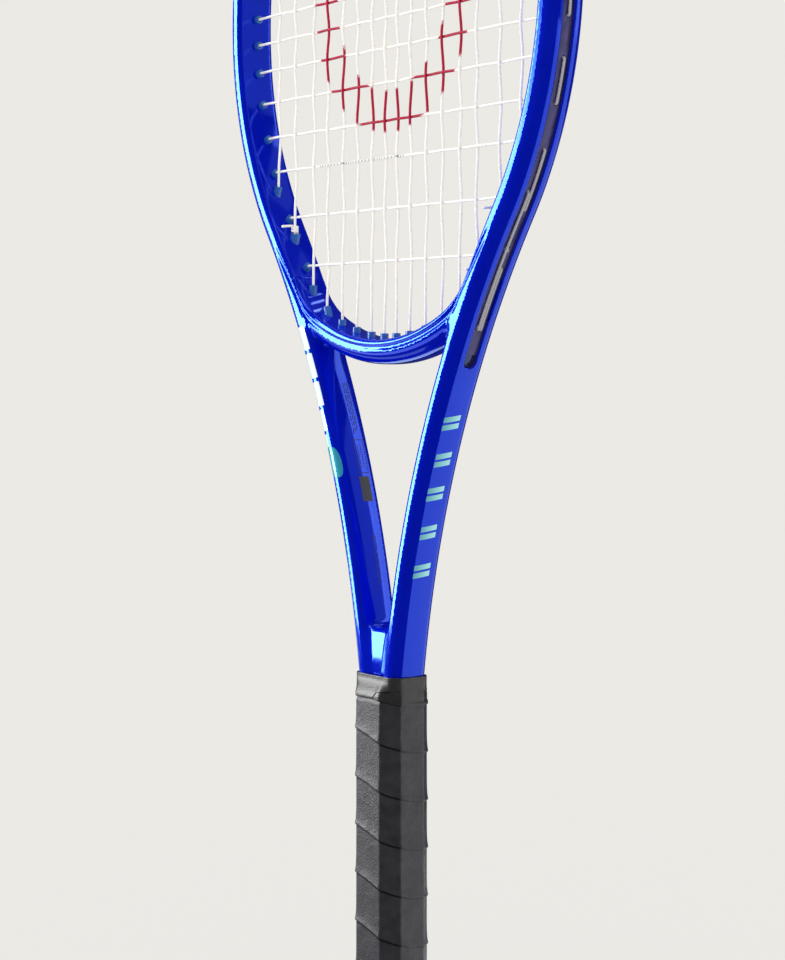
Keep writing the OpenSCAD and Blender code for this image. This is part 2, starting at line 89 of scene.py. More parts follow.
c_tip = np.array([0, TOP_Z - TIP_R])
sh_r = (HALF_W ** 2 + (TOP_Z - WIDE_Z - TIP_R) ** 2 - TIP_R ** 2) / (2 * (HALF_W - TIP_R))
c_sh = np.array([HALF_W - sh_r, WIDE_Z])
SH_A = ang(c_tip - c_sh)
c_side = np.array([HALF_W - SIDE_R, WIDE_Z])
c_arm = c_side + (SIDE_R + ARM_R) * unit(-FLANK)
c_neck = c_arm + (NECK_R - ARM_R) * unit(-NECK)
SHAFT_X, SHAFT_Z = c_neck[0] - NECK_R, c_neck[1]
# tip, shoulder, side, arm and neck: centre, radius, which side of the arc the tube is on, and end angles
ARCS = [(c_tip, TIP_R, 1, SH_A, 180 - SH_A), (c_sh, sh_r, 1, 0, SH_A), (c_side, SIDE_R, 1, -FLANK, 0),
        (c_arm, ARM_R, -1, 180 - FLANK, 180 - NECK), (c_neck, NECK_R, -1, 180 - NECK, 180)]
GROOVE_A = 180 - math.degrees(math.asin((GROOVE_Z - c_arm[1]) / ARM_R))
# the bridge is an arc about c_br, and a smaller one about c_cor joins it to the arm
c_br = np.array([0, OPENING_Z + BRIDGE_R])
to_arm = c_arm - c_br
span = np.linalg.norm(to_arm)
u_arm = to_arm / span
gap_c, gap_a = BRIDGE_R - CORNER_R, ARM_R + TUBE_W + CORNER_R
along = (span ** 2 + gap_c ** 2 - gap_a ** 2) / (2 * span)
across = math.sqrt(gap_c ** 2 - along ** 2)
c_cor = c_br + along * u_arm - across * np.array([-u_arm[1], u_arm[0]])
COR_A0 = ang(c_cor - c_br)
COR_A1 = ang(c_arm - c_cor)


def levels(x, z):
    """Level in from the outer surface of the hoop and arms, for x at or right of the centre line."""
    best = np.full(x.shape, 1e3)
    for c, r, s, a0, a1 in ARCS:
        dx, dz = x - c[0], z - c[1]
        a = np.degrees(np.arctan2(dz, dx))
        a = np.where(a < -170, a + 360, a)
        t = s * (r - np.hypot(dx, dz))
        inside = (a >= a0 - 0.02) & (a <= a1 + 0.02)
        best = np.where(inside & (np.abs(t - 5) < np.abs(best - 5)), t, best)
    return np.where(z < SHAFT_Z, SHAFT_X - x, best)


def bridge_levels(x, z):
    """Level up from the bridge's underside, and how far past its tangent with the arm."""
    dx, dz = x - c_br[0], z - c_br[1]
    a = np.degrees(np.arctan2(dz, dx))
    t_mid = BRIDGE_R + TUBE_W - np.hypot(dx, dz)
    ex, ez = x - c_cor[0], z - c_cor[1]
    b = np.degrees(np.arctan2(ez, ex))
    t_cor = CORNER_R + TUBE_W - np.hypot(ex, ez)
    mid = a < COR_A0
    past = np.where(b > 90, 1e3, (b - COR_A1) * math.radians(1) * (CORNER_R + TUBE_W / 2))
    past = np.where(mid, -1e3, past)
    return np.where(mid, t_mid, t_cor), past


def smin(a, b, k):
    h = np.maximum(k - np.abs(a - b), 0) / k
    return np.minimum(a, b) - h * h * k / 4


def smax(a, b, k):
    return -smin(-a, -b, k)


def ease(v, lo, hi):
    t = np.clip((v - lo) / (hi - lo), 0, 1)
    return t * t * (3 - 2 * t)


GROOVE_END = c_arm + ARM_R * unit(GROOVE_A)
GROOVE_DIR = np.array([math.sin(math.radians(GROOVE_A)), -math.cos(math.radians(GROOVE_A))])


def past_groove_end(x, z):
    """How far up the arm from the centre of the groove's round end."""
    return (x - GROOVE_END[0]) * GROOVE_DIR[0] + (z - GROOVE_END[1]) * GROOVE_DIR[1]


def rounded(plan, depth, r):
    """Extrusion of a plan distance between two flat faces, with edges of radius r."""
    qx, qy = plan + r, depth + r
    return np.minimum(np.maximum(qx, qy), 0) + np.hypot(np.maximum(qx, 0), np.maximum(qy, 0)) - r


def frame_sdf(p):
    """Signed distance, millimetres, of the painted frame: hoop, arms, shaft, bridge and web."""
    x, y, z = np.abs(p[:, 0]), p[:, 1], p[:, 2]
    t = levels(x, z)
    depth = np.abs(y) - HALF_D
    bow = (y / HALF_D) ** 2
    arm = np.maximum(1.2 * bow - t, t - TUBE_W + (1.4 - 1.1 * ease(z, 330.0, 356.0)) * bow)
    tb, past = bridge_levels(x, z)
    under = 0.6 * bow - tb - BELLY
    bridge = smax(smax(np.maximum(under, tb - TUBE_W + 0.7 * bow), past, 1.0), 5.5 - t, 2.0)
    arm = rounded(arm, depth, EDGE_R - (EDGE_R - LIP_R) * ease(t, 4.5, 8.6))
    bridge = rounded(bridge, depth, 7.8 - (7.8 - LIP_R) * ease(tb, 6.4, 9.2))
    # shallow crease where the bridge leaves the arm
    up = np.clip((z - 359.0) / 34.0, 0, 1)
    crease = ease(z, 350.0, 359.0) * (1 - ease(up, 0.35, 1.0)) * np.exp(-((t - 11.0 + 5.0 * up) / 1.3) ** 2)
    body = np.maximum(smin(arm, bridge, 4.0 - 3.0 * ease(tb, 3.0, 9.0)), depth + 0.7 * crease)
    # web between the arms below the crotch
    plan_w = np.maximum(np.maximum(z - CROTCH_Z, TUBE_W - 1.5 - t), x - 22)
    web = rounded(plan_w, np.abs(y) - WEB_D + 0.0032 * np.clip(z - 187, 0, 18) ** 2, 2.4)
    body = np.maximum(smin(body, web, 4.0), depth)
    # grooves for the strings
    s = past_groove_end(x, z)
    across_y = np.where(s > 0, np.abs(y), np.hypot(y, s)) - GROOVE_W / 2
    cut = np.maximum(across_y, t - GROOVE_D)
    body = smax(body, -cut, 1.1)
    cut_b = np.maximum(np.maximum(np.abs(y) - GROOVE_W / 2, tb - GROOVE_D), 1.2 + t - TUBE_W)
    cut_b = np.where((past > 0) | (tb < -3), 5.0, cut_b)
    return smax(body, -cut_b, 1.1)


def add_mesh(name, verts, faces):
    """A smooth-shaded mesh object from vertices in metres."""
    me = bpy.data.meshes.new(name)
    me.from_pydata([tuple(v) for v in verts], [], [tuple(f) for f in faces])
    me.update()
    for p in me.polygons:
        p.use_smooth = True
    obj = bpy.data.objects.new(name, me)
    bpy.context.scene.collection.objects.link(obj)
    return obj


def slope(sdf, q, reach=0.02):
    """Gradient of sdf at the points q."""
    g = np.empty_like(q)
    for ax in range(3):
        e = np.zeros(3)
        e[ax] = reach
        g[:, ax] = (sdf(q + e) - sdf(q - e)) / (2 * reach)
    return g


def surface_mesh(name, sdf, lo, hi, h):
    """Surface of sdf = 0 inside the box, as quads on the zero level with exact normals."""
    axes = [np.arange(a, b + h, h) for a, b in zip(lo, hi)]
    shape = tuple(len(a) for a in axes)
    grid = np.stack(np.meshgrid(*axes, indexing="ij"), -1).reshape(-1, 3)
    val = np.empty(len(grid))
    for i in range(0, len(grid), 1000000):
        val[i:i + 1000000] = sdf(grid[i:i + 1000000])
    val = val.reshape(shape)
    neg = val < 0
    # one vertex in each cell that the surface crosses, at the mean of its crossings
    cells = tuple(n - 1 for n in shape)
    acc = np.zeros(cells + (3,))
    cnt = np.zeros(cells)
    cross = []
    for ax in range(3):
        a = [slice(None)] * 3
        b = [slice(None)] * 3
        a[ax], b[ax] = slice(0, -1), slice(1, None)
        a, b = tuple(a), tuple(b)
        hit = np.argwhere(neg[a] != neg[b])
        va, vb = val[a][tuple(hit.T)], val[b][tuple(hit.T)]
        pos = hit.astype(float)
        pos[:, ax] += va / (va - vb)
        o1, o2 = [k for k in range(3) if k != ax]
        ring = []
        for d1, d2 in ((-1, -1), (0, -1), (0, 0), (-1, 0)):
            c = hit.copy()
            c[:, o1] += d1
            c[:, o2] += d2
            ok = (c >= 0).all(1) & (c < np.array(cells)).all(1)
            np.add.at(acc, tuple(c[ok].T), pos[ok])
            np.add.at(cnt, tuple(c[ok].T), 1)
            ring.append((c, ok))
        inside = neg[a][tuple(hit.T)]
        cross.append((ax, ring, inside))
    used = np.argwhere(cnt > 0)
    index = np.full(cells, -1)
    index[tuple(used.T)] = np.arange(len(used))
    pts = acc[tuple(used.T)] / cnt[tuple(used.T)][:, None] * h + np.array([a[0] for a in axes])
    # one quad round each grid edge that it crosses
    quads = []
    for ax, ring, inside in cross:
        ok = np.logical_and.reduce([r[1] for r in ring])
        q = np.stack([index[tuple(r[0][ok].T)] for r in ring], 1)
        flip = inside[ok] if ax != 1 else ~inside[ok]
        quads.append(np.where(flip[:, None], q, q[:, ::-1]))
    quads = np.concatenate(quads)
    # draw the vertices onto the surface
    for _ in range(4):
        f = sdf(pts)
        g = slope(sdf, pts)
        step = np.clip(f / np.maximum((g ** 2).sum(1), 0.25), -0.6, 0.6)
        pts = pts - g * step[:, None]
    g = slope(sdf, pts)
    g /= np.linalg.norm(g, axis=1)[:, None] + 1e-9
    obj = add_mesh(name, (pts / 1000).tolist(), quads.tolist())
    me = obj.data
    fa, fb = pts[quads[:, 1]] - pts[quads[:, 0]], pts[quads[:, 2]] - pts[quads[:, 0]]
    out = (np.cross(fa, fb) * g[quads[:, 0]]).sum(1)
    if (out < 0).mean() > 0.5:
        me.flip_normals()
    me.normals_split_custom_set_from_vertices(g.tolist())
    return obj


# ---------- where the strings go
def arc_of(k, t):
    return ARCS[k][1] - ARCS[k][2] * t


def chord(r, d):
    return math.sqrt(r * r - d * d)


# points of the hoop at level t: at a height, or above or below a place across; each comes with its arc
def side_p(z, t):
    if z > WIDE_Z + arc_of(1, t) * math.sin(math.radians(SH_A)):
        k = 0
    elif z > WIDE_Z:
        k = 1
    elif z > WIDE_Z - arc_of(2, t) * math.sin(math.radians(FLANK)):
        k = 2
    else:
        k = 3
    c = ARCS[k][0]
    return np.array([c[0] + ARCS[k][2] * chord(arc_of(k, t), z - c[1]), z]), k


def top_p(x, t):
    k = 0 if x < c_sh[0] + arc_of(1, t) * math.cos(math.radians(SH_A)) else 1
    c = ARCS[k][0]
    return np.array([x, c[1] + chord(arc_of(k, t), x - c[0])]), k


def low_p(x, t):
    k = 2 if x > c_side[0] + arc_of(2, t) * math.cos(math.radians(FLANK)) else 3
    c = ARCS[k][0]
    return np.array([x, c[1] - ARCS[k][2] * chord(arc_of(k, t), x - c[0])]), k


def bridge_p(x, t):
    """Point of the bridge at level t; it has no number in ARCS."""
    s = TUBE_W - t
    if x < (BRIDGE_R + s) * math.cos(math.radians(COR_A0)):
        return np.array([x, c_br[1] - chord(BRIDGE_R + s, x)])
    return np.array([x, c_cor[1] - chord(CORNER_R + s, x - c_cor[0])])


def out_a(k, p):
    """Outward direction, in degrees, at a point of an arc."""
    return ang((p - ARCS[k][0]) * ARCS[k][2])


def level(k, p):
    if k < 0:
        return BRIDGE_R + TUBE_W - np.linalg.norm(p - c_br)
    return ARCS[k][2] * (ARCS[k][1] - np.linalg.norm(p - ARCS[k][0]))


def hole(p, k, line, lean):
    """A string hole: inner end, direction, outward direction there, and arc (-1 for the bridge)."""
    n = out_a(k, p)
    return p, line + lean * (n - line), n, k


def hole_at(h, t):
    return h[0] + unit(h[1]) * (level(h[3], h[0]) - t) / math.cos(math.radians(h[1] - h[2]))


def run_a(h):
    """Angle round its arc at which a hole meets the run in the groove."""
    c = c_br if h[3] < 0 else ARCS[h[3]][0]
    a = ang(hole_at(h, RUN_T) - c)
    return a % 360 if h[3] >= 3 else a


cross_holes = [hole(*side_p(z, TIP_T), 0, 1) for z in CROSS_Z]
top_holes = [hole(*top_p(x, TIP_T), 90, 1) for x in MAIN_X]
p5 = bridge_p(MAIN_X[5], TIP_T)
h_third = (p5, -86, out_a(3, low_p(MAIN_X[5], TUBE_W)[0]), 3)
low_holes = [hole(*low_p(MAIN_X[7], TIP_T), -90, 0.3), hole(*low_p(MAIN_X[6], TIP_T), -90, 0.3), h_third]
bridge_holes = []
for xm in MAIN_X[:4]:
    p = bridge_p(xm, TIP_T)
    a = ang(p - c_br)
    bridge_holes.append((p, -90 + 0.3 * (a + 90), a, -1))
bridge_holes.append((bridge_p(MAIN_X[4], TIP_T), -109, -68, -1))
low_of = bridge_holes + low_holes[::-1]


def arc_points(c, r, a0, a1, y):
    n = max(2, int(abs(a1 - a0) * math.radians(1) * r / 2.5))
    return [(c[0] + r * math.cos(math.radians(a)), y, c[1] + r * math.sin(math.radians(a)))
            for a in np.linspace(a0, a1, n + 1)]


def groove_run(upper, lower, y):
    """Points in the outer groove from the upper hole down to the lower one."""
    top = [90, SH_A, 0, 180 - FLANK]
    low = [SH_A, 0, -FLANK, 180 - NECK]
    pts = []
    for k in range(upper[3], lower[3] + 1):
        a = run_a(upper) if k == upper[3] else top[k]
        b = run_a(lower) if k == lower[3] else low[k]
        seg = arc_points(ARCS[k][0], arc_of(k, RUN_T), a, b, y)
        pts += seg if not pts else seg[1:]
    return pts


def bed_line(p, q, stations, signs, y_end):
    """Straight length across the bed that goes over and under at each station (0 to 1 along it)."""
    p, q = np.array(p, float), np.array(q, float)
    us = [0.0] + list(stations) + [1.0]
    ys = [y_end] + [s * WEAVE for s in signs] + [y_end]
    pts = []
    steps = 6
    for i in range(len(us) - 1):
        for j in range(steps):
            f = j / steps
            e = (1 - math.cos(math.pi * f)) / 2
            u = us[i] + (us[i + 1] - us[i]) * f
            xz = p + (q - p) * u
            pts.append((xz[0], ys[i] + (ys[i + 1] - ys[i]) * e, xz[1]))
    pts.append((q[0], ys[-1], q[1]))
    return pts


def main_up(i, right):
    lo_z, hi_z = low_of[i][0][1], top_holes[i][0][1]
    col = 8 + i if right else 7 - i
    st, sg = [], []
    for j, z in enumerate(CROSS_Z):
        if lo_z + 3 < z < hi_z - 3 and cross_holes[j][0][0] > MAIN_X[i] + 1:
            st.append((z - lo_z) / (hi_z - lo_z))
            sg.append(1 if (col + j) % 2 else -1)
    return bed_line(low_of[i][0], top_holes[i][0], st, sg, -STRING_Y)


def cross_right(j):
    x = cross_holes[j][0][0]
    st, sg = [], []
    for col in range(16):
        xm = MAIN_X[col - 8] if col >= 8 else -MAIN_X[7 - col]
        if abs(xm) < x - 1 and low_of[col - 8 if col >= 8 else 7 - col][0][1] + 3 < CROSS_Z[j]:
            st.append((xm + x) / (2 * x))
            sg.append(-1 if (col + j) % 2 else 1)
    return bed_line((-x, CROSS_Z[j]), (x, CROSS_Z[j]), st, sg, STRING_Y)


def lead(h, y):
    q = hole_at(h, RUN_T)
    return [(h[0][0], y, h[0][1]), (q[0], y, q[1])]


def soften(pts, reach=1.1):
    """Rounds the corners of a polyline."""
    pts = [np.array(p, float) for p in pts]
    clean = [pts[0]]
    for p in pts[1:]:
        if np.linalg.norm(p - clean[-1]) > 0.05:
            clean.append(p)
    out = [clean[0]]
    for a, b, c in zip(clean, clean[1:], clean[2:]):
        u, v = b - a, c - b
        lu, lv = np.linalg.norm(u), np.linalg.norm(v)
        if np.dot(u, v) / (lu * lv) > 0.985:
            out.append(b)
            continue
        s = b - u / lu * min(reach, lu * 0.45)
        e = b + v / lv * min(reach, lv * 0.45)
        for f in (0, 0.25, 0.5, 0.75, 1):
            out.append((1 - f) ** 2 * s + 2 * f * (1 - f) * b + f * f * e)
    out.append(clean[-1])
    return out


def tube(pts, r, seg=10):
    """Vertices and faces, in metres, of a round string along pts (millimetres)."""
    pts = np.array(pts, float)
    d = np.gradient(pts, axis=0)
    d /= np.linalg.norm(d, axis=1)[:, None]
    n = np.array([0, 1, 0]) if abs(d[0][1]) < 0.9 else np.array([1, 0, 0])
    verts, faces = [], []
    for i, (p, t) in enumerate(zip(pts, d)):
        n = n - t * np.dot(n, t)
        n /= np.linalg.norm(n)
        b = np.cross(t, n)
        for k in range(seg):
            a = 2 * math.pi * k / seg
            verts.append((p + r * (math.cos(a) * n + math.sin(a) * b)) / 1000)
    for i in range(len(pts) - 1):
        for k in range(seg):
            a, b = i * seg + k, i * seg + (k + 1) % seg
            faces.append((a, b, b + seg, a + seg))
    faces.append(tuple(reversed(range(seg))))
    faces.append(tuple(range(len(verts) - seg, len(verts))))
    return verts, faces


def flip(pts):
    return [(-p[0], p[1], p[2]) for p in pts]


def knot(x, z, y_anchor, y_in, up=1, tail=8.0, lean=0.14):
    """Turns round the anchor string, ten points each, then a short tail out to the front."""
    pts = [(x, y_in, z - up * 1.0)]
    for i in range(27):
        a = math.pi / 2 + i * 2 * math.pi / 10
        turn_r = 1.28 + 0.10 * math.sin(i * 1.3)
        pts.append((x + turn_r * math.cos(a), y_anchor + turn_r * math.sin(a), z + up * (0.7 + 0.115 * i)))
    last = pts[-1]
    y0 = min(last[1], y_anchor - 1.4)
    for i in range(1, 9):
        f = i / 8
        pts.append((x + (1 - f) * math.cos(3.8) - lean * tail * f, y0 - tail * f * 0.86,
                    last[2] - up * 0.5 * f * f))
    return pts


def main_path(right):
    """Half of the main string, from the middle out to its tie-off."""
    pts = []
    for i in range(8):
        up = i % 2 == 0
        line = main_up(i, right)
        lo, hi = lead(low_of[i], -STRING_Y), lead(top_holes[i], -STRING_Y)
        pts += (lo[::-1] + line + hi) if up else (hi[::-1] + line[::-1] + lo)
        if i in (0, 2, 4, 6):
            pts += groove_run(top_holes[i], top_holes[i + 1], -STRING_Y)
        elif i in (1, 3):
            pts += arc_points(c_br, BRIDGE_R + TUBE_W - RUN_T, run_a(bridge_holes[i]),
                              run_a(bridge_holes[i + 1]), -STRING_Y)
        elif i == 5:
            pts += groove_run(low_holes[1], low_holes[2], -STRING_Y)[::-1]
        else:
            pts += groove_run(low_holes[0], low_holes[1], -STRING_Y)
    tie = low_holes[1]
    q = hole_at(tie, RUN_T)
    pts.append((q[0], STRING_Y, q[1]))
    pts.append((tie[0][0], STRING_Y, tie[0][1]))
    return pts + knot(tie[0][0], tie[0][1], -STRING_Y, STRING_Y)


def main_string_mesh():
    a = run_a(bridge_holes[0])
    right, left = main_path(True), flip(main_path(False))
    mid = arc_points(c_br, BRIDGE_R + TUBE_W - RUN_T, -180 - a, a, -STRING_Y)
    return soften(left[::-1] + mid[1:-1] + right)


def cross_string_mesh():
    """The cross string, from its lower knot up the head to its upper one."""
    last = len(CROSS_Z) - 1
    tie = h_third
    pts = knot(tie[0][0], tie[0][1], -STRING_Y, STRING_Y, tail=4.5)[::-1]
    pts += lead(tie, STRING_Y)
    pts += groove_run(cross_holes[0], tie, STRING_Y)[::-1]
    for j in range(last + 1):
        line = cross_right(j)
        hole_r, hole_l = lead(cross_holes[j], STRING_Y), flip(lead(cross_holes[j], STRING_Y))
        if j % 2 == 0:
            pts += hole_r[::-1] + line[::-1] + hole_l
            if j < last:
                pts += flip(groove_run(cross_holes[j + 1], cross_holes[j], STRING_Y)[::-1])
        else:
            pts += hole_l[::-1] + line + hole_r
            pts += groove_run(cross_holes[j + 1], cross_holes[j], STRING_Y)[::-1]
    end = top_holes[4]
    pts += flip(groove_run(end, cross_holes[last], STRING_Y)[::-1])
    pts += flip(lead(end, STRING_Y)[::-1])
    pts += flip(knot(end[0][0], end[0][1], -STRING_Y, STRING_Y, up=-1, tail=4.5))
    return soften(pts)


# ---------- materials
def principled(name, **values):
    mat = bpy.data.materials.new(name)
    mat.use_nodes = True
    nt = mat.node_tree
    bsdf = nt.nodes["Principled BSDF"]
    for key, v in values.items():
        socket = bsdf.inputs[key.replace("_", " ")]
        socket.default_value = (*v, 1) if isinstance(v, tuple) and len(v) == 3 else v
    return mat, nt, bsdf


def node(nt, kind, **props):
    n = nt.nodes.new(kind)
    for key, v in props.items():
        setattr(n, key, v)
    return n


def coords(nt):
    return node(nt, "ShaderNodeTexCoord").outputs["Object"]


def noise(nt, vec, scale, detail=3.0, rough=0.5):
    n = node(nt, "ShaderNodeTexNoise")
    n.inputs["Scale"].default_value = scale
    n.inputs["Detail"].default_value = detail
    n.inputs["Roughness"].default_value = rough
    nt.links.new(vec, n.inputs["Vector"])
    return n.outputs["Fac"]


def ramp(nt, fac, stops):
    n = node(nt, "ShaderNodeValToRGB")
    while len(n.color_ramp.elements) < len(stops):
        n.color_ramp.elements.new(0.5)
    for e, (pos, col) in zip(n.color_ramp.elements, stops):
        e.position = pos
        e.color = (*col, 1)
    nt.links.new(fac, n.inputs["Fac"])
    return n.outputs["Color"]


def grey_ramp(nt, fac, a, va, b, vb):
    return ramp(nt, fac, [(a, (va,) * 3), (b, (vb,) * 3)])


def mix_colours(nt, fac, a, b):
    """Colour a where fac is 0 and b where it is 1; each is a socket or a plain colour."""
    n = node(nt, "ShaderNodeMix", data_type="RGBA")
    nt.links.new(fac, n.inputs["Factor"])
    for key, v in (("A", a), ("B", b)):
        if isinstance(v, tuple):
            n.inputs[key].default_value = (*v, 1)
        else:
            nt.links.new(v, n.inputs[key])
    return n.outputs["Result"]


def attribute(nt, name):
    return node(nt, "ShaderNodeAttribute", attribute_name=name).outputs["Fac"]


def bump(nt, bsdf, height, strength, distance, normal=None):
    b = node(nt, "ShaderNodeBump")
    b.inputs["Strength"].default_value = strength
    b.inputs["Distance"].default_value = distance
    nt.links.new(height, b.inputs["Height"])
    if normal is not None:
        nt.links.new(normal, b.inputs["Normal"])
    nt.links.new(b.outputs["Normal"], bsdf.inputs["Normal"])
    return b.outputs["Normal"]


def maths(nt, op, a, b=None):
    n = node(nt, "ShaderNodeMath", operation=op)
    for i, v in enumerate((a, b)):
        if v is None:
            continue
        if isinstance(v, (int, float)):
            n.inputs[i].default_value = v
        else:
            nt.links.new(v, n.inputs[i])
    return n.outputs[0]


def mottled(name, scale, detail, low, high, **values):
    """A material mottled between two colours."""
    mat, nt, b = principled(name, **values)
    vec = coords(nt)
    col = ramp(nt, noise(nt, vec, scale, detail), [(0.3, low), (0.7, high)])
    nt.links.new(col, b.inputs["Base Color"])
    return mat, nt, b, vec


def mat_paint():
    mat, nt, b = principled("blue_paint", Metallic=0.3, Roughness=0.08, IOR=1.6,
                            Specular_Tint=(0.40, 0.98, 1.0), Coat_Weight=0.1, Coat_Roughness=0.01)
    vec = coords(nt)
    flake = node(nt, "ShaderNodeTexVoronoi")
    flake.inputs["Scale"].default_value = 4200
    nt.links.new(vec, flake.inputs["Vector"])
    cloud = noise(nt, vec, 40, 2)
    flakes = maths(nt, "MULTIPLY", flake.outputs["Color"], 0.5)
    mix = maths(nt, "ADD", flakes, maths(nt, "MULTIPLY", cloud, 0.5))
    col = ramp(nt, mix, [(0.1, (0.000, 0.004, 0.52)), (0.9, (0.001, 0.012, 0.68))])
    # painted shade: inside the string grooves the blue paint is darkened to dark navy, standing in for the
    # shade of the groove walls
    groove = grey_ramp(nt, attribute(nt, "groove"), 0.45, 0, 0.55, 1)
    nt.links.new(mix_colours(nt, groove, col, (0.035, 0.028, 0.14)), b.inputs["Base Color"])
    rough = grey_ramp(nt, noise(nt, vec, 90, 2), 0.3, 0.06, 0.7, 0.10)
    nt.links.new(rough, b.inputs["Roughness"])
    return mat


def mat_barrel():
    mat, nt, b, vec = mottled("grommet_blue", 300, 2, (0.008, 0.080, 0.38), (0.014, 0.125, 0.52),
                              Roughness=0.32, Coat_Weight=0.3, Coat_Roughness=0.15)
    bump(nt, b, noise(nt, vec, 2500, 2), 0.15, 0.0002)
    return mat


def mat_strip():
    # painted shade: the base is the same blue plastic as the barrels, coloured dark navy for the shade it
    # sits in down in the groove
    mat, nt, b, vec = mottled("grommet_base_shaded", 200, 3, (0.030, 0.025, 0.12), (0.05, 0.042, 0.19),
                              Roughness=0.38)
    bump(nt, b, noise(nt, vec, 2200, 2), 0.2, 0.0003)
    return mat


def mat_guard():
    mat, nt, b, vec = mottled("guard_plastic", 120, 4, (0.010, 0.011, 0.032), (0.022, 0.024, 0.06),
                              Roughness=0.42)
    nt.links.new(grey_ramp(nt, noise(nt, vec, 400, 3), 0.3, 0.35, 0.7, 0.5), b.inputs["Roughness"])
    bump(nt, b, noise(nt, vec, 1800, 3), 0.25, 0.0004)
    return mat


# marks on the strings, in metres: a plain red ring, and a row of fine dashes along one cross
RING_Z, RING_R, RING_W = 0.505, 0.0545, 0.0100
DASH_Z, DASH_X0, DASH_X1 = CROSS_Z[2] / 1000, -0.062, 0.012


def mat_string():
    mat, nt, b = principled("string_nylon", Roughness=0.36, Specular_IOR_Level=0.25,
                            Subsurface_Weight=0.15, Subsurface_Scale=0.001)
    vec = coords(nt)
    sep = node(nt, "ShaderNodeSeparateXYZ")
    nt.links.new(vec, sep.inputs[0])
    x, z = sep.outputs["X"], sep.outputs["Z"]
    up = maths(nt, "SUBTRACT", z, RING_Z)
    square = maths(nt, "ADD", maths(nt, "POWER", x, 2.0), maths(nt, "POWER", up, 2.0))
    off = maths(nt, "ABSOLUTE", maths(nt, "SUBTRACT", maths(nt, "SQRT", square), RING_R))
    ragged = maths(nt, "ADD", off, maths(nt, "MULTIPLY", noise(nt, vec, 900, 3), 0.0022))
    # a ramp runs from 0 to 1, so the distance is scaled up for it
    edge = [((RING_W + 0.0005) * 50, (1, 1, 1)), ((RING_W + 0.0017) * 50, (0, 0, 0))]
    ring = ramp(nt, maths(nt, "MULTIPLY", ragged, 50.0), edge)
    white = ramp(nt, noise(nt, vec, 700, 2), [(0.3, (0.83, 0.82, 0.78)), (0.7, (0.92, 0.915, 0.89))])
    red = ramp(nt, noise(nt, vec, 1500, 3), [(0.35, (0.36, 0.001, 0.030)), (0.7, (0.48, 0.003, 0.050))])
    near = maths(nt, "LESS_THAN", maths(nt, "ABSOLUTE", maths(nt, "SUBTRACT", z, DASH_Z)), 0.0004)
    along = maths(nt, "MULTIPLY", maths(nt, "GREATER_THAN", x, DASH_X0), maths(nt, "LESS_THAN", x, DASH_X1))
    broken = maths(nt, "GREATER_THAN", maths(nt, "SINE", maths(nt, "MULTIPLY", x, 2600.0)), -0.2)
    dashes = maths(nt, "MULTIPLY", maths(nt, "MULTIPLY", near, along), broken)
    col = mix_colours(nt, maths(nt, "MULTIPLY", dashes, 0.65), white, (0.16, 0.16, 0.18))
    col = mix_colours(nt, ring, col, red)
    # painted shade: the runs in the outer grooves are greyer, standing in for the shade they lie in there
    groove = grey_ramp(nt, attribute(nt, "groove"), 0.1, 0, 0.3, 1)
    nt.links.new(mix_colours(nt, groove, col, (0.40, 0.40, 0.43)), b.inputs["Base Color"])
    bump(nt, b, noise(nt, vec, 3500, 2), 0.12, 0.0002)
    return mat


def seam_shade(nt, b, col):
    """Paints shade, near black, into a wrap along its seams and edges, which carry 1 in the attribute named
    seam.
    """
    seam = grey_ramp(nt, attribute(nt, "seam"), 0.25, 0, 0.8, 1)
    nt.links.new(mix_colours(nt, seam, col, (0.003, 0.003, 0.004)), b.inputs["Base Color"])


def mat_grip():
    mat, nt, b = principled("grip_leather", Roughness=0.44, Coat_Weight=0.12, Coat_Roughness=0.35)
    vec = coords(nt)
    col = ramp(nt, noise(nt, vec, 160, 4), [(0.3, (0.019, 0.018, 0.025)), (0.7, (0.034, 0.032, 0.043))])
    seam_shade(nt, b, col)
    nt.links.new(grey_ramp(nt, noise(nt, vec, 500, 3), 0.3, 0.36, 0.7, 0.52), b.inputs["Roughness"])
    grain = node(nt, "ShaderNodeTexVoronoi")
    grain.inputs["Scale"].default_value = 1500
    nt.links.new(vec, grain.inputs["Vector"])
    first = bump(nt, b, grain.outputs["Distance"], 0.22, 0.0005)
    bump(nt, b, noise(nt, vec, 140, 3), 0.25, 0.0012, first)
    return mat


def mat_tape():
    mat, nt, b = principled("tape_vinyl", Roughness=0.38, Coat_Weight=0.15, Coat_Roughness=0.3)
    vec = coords(nt)
    col = ramp(nt, noise(nt, vec, 220, 3), [(0.3, (0.016, 0.016, 0.018)), (0.7, (0.028, 0.028, 0.031))])
    seam_shade(nt, b, col)
    stretch = node(nt, "ShaderNodeMapping")
    stretch.inputs["Scale"].default_value = (1, 1, 6)
    nt.links.new(vec, stretch.inputs["Vector"])
    bump(nt, b, noise(nt, stretch.outputs["Vector"], 300, 3), 0.25, 0.0005)
    return mat


def mat_cap():
    mat, nt, b, vec = mottled("cap_plastic", 90, 3, (0.014, 0.014, 0.016), (0.026, 0.026, 0.029),
                              Roughness=0.4)
    bump(nt, b, noise(nt, vec, 2400, 2), 0.25, 0.0003)
    return mat


def mat_steel():
    return mottled("staple_wire", 900, 3, (0.42, 0.42, 0.43), (0.62, 0.62, 0.63),
                   Metallic=1.0, Roughness=0.3)[0]


def mat_foam():
    mat, nt, b, vec = mottled("handle_foam_raw", 260, 4, (0.52, 0.46, 0.33), (0.66, 0.60, 0.46),
                              Roughness=0.8)
    bump(nt, b, noise(nt, vec, 1200, 3), 0.4, 0.0005)
    return mat


